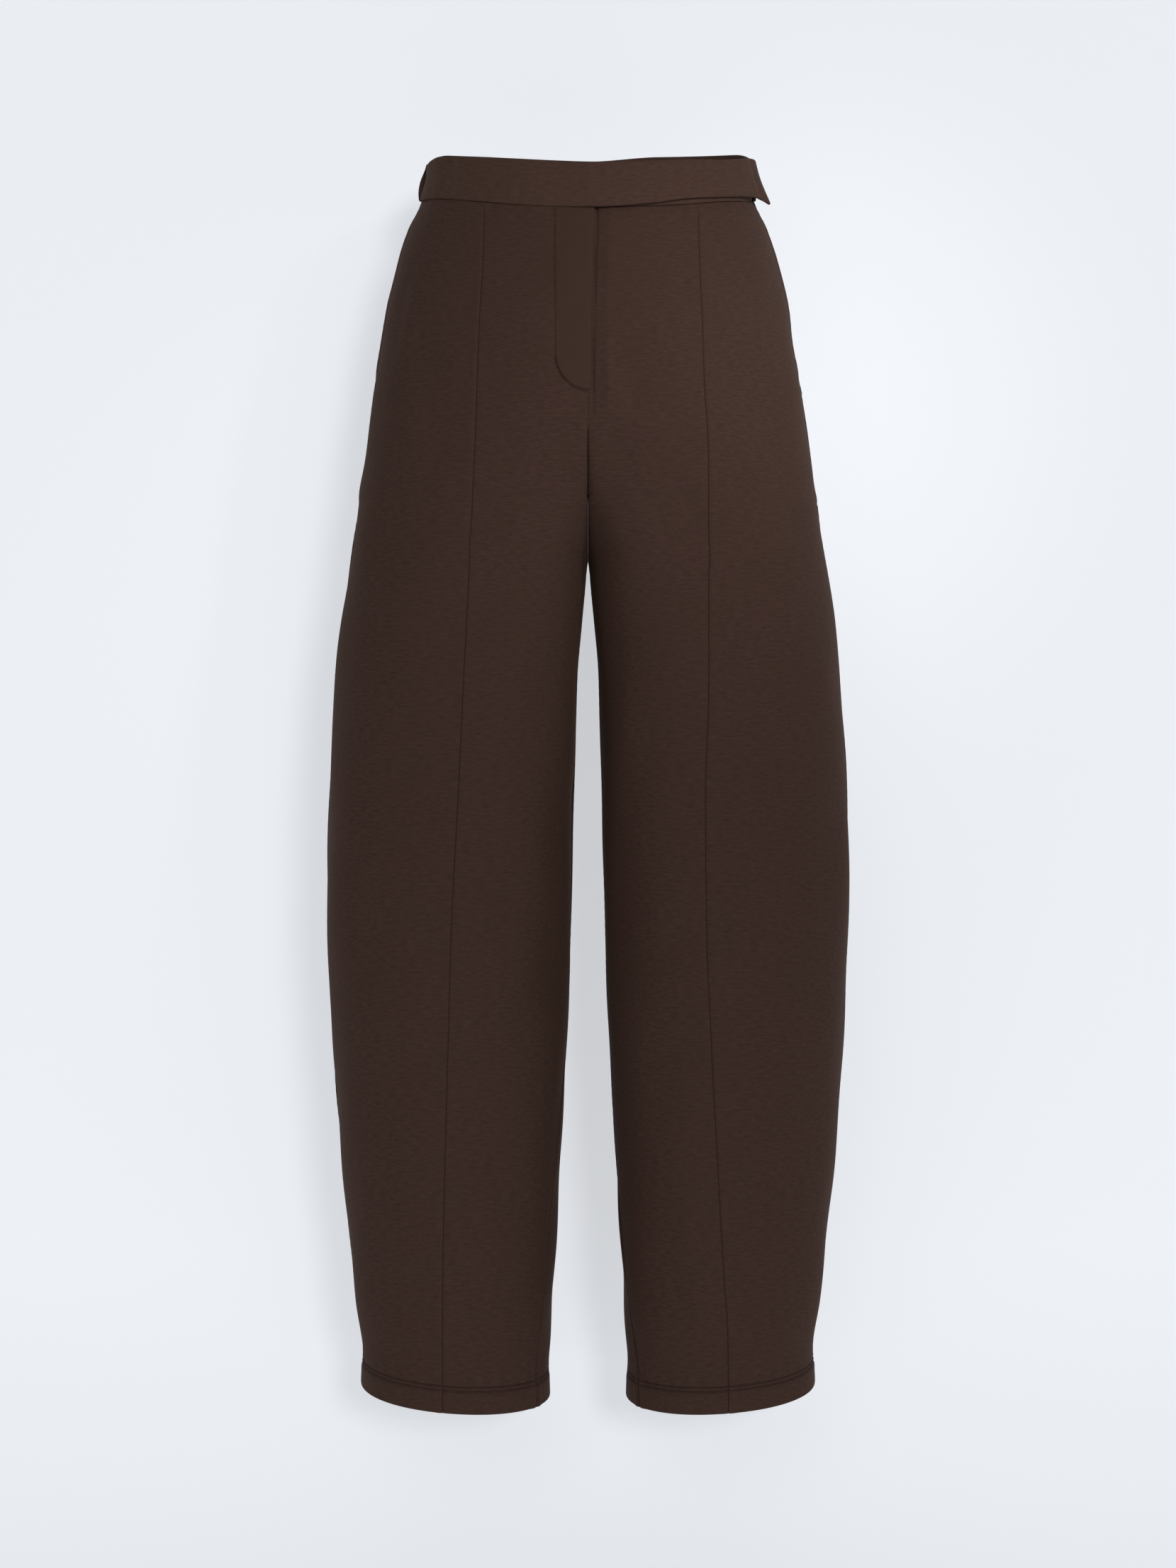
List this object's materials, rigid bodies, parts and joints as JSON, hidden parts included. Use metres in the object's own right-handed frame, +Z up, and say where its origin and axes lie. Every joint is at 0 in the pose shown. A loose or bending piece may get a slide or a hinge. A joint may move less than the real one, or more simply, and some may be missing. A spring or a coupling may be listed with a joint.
{
  "type": "sweatpants",
  "caption": "Women's dark brown jersey sweatpants with curved barrel legs, a lapped waistband with a side tab, and side pockets.",
  "frame": {"origin": "middle of the waist, half way up the waistband at the sides", "axes": "+Z up, -Y the front, +X the wearer's left"},
  "size_m": [0.4284, 0.2281, 1.0429],
  "materials": {
    "jersey_front_centre": "matt",
    "jersey_front_side": "matt",
    "jersey_back": "matt",
    "jersey_waistband": "matt",
    "jersey_pocket": "matt"
  },
  "bodies": {
    "root": {"front_centre_right": "jersey_front_centre", "front_centre_left": "jersey_front_centre", "front_side_right": "jersey_front_side", "front_side_left": "jersey_front_side", "back_right": "jersey_back", "back_left": "jersey_back", "pocket_facing_right": "jersey_pocket", "pocket_facing_left": "jersey_pocket", "waistband_front_tab": "jersey_waistband", "waistband_front_left": "jersey_waistband", "waistband_back": "jersey_waistband"}
  },
  "joints": []
}
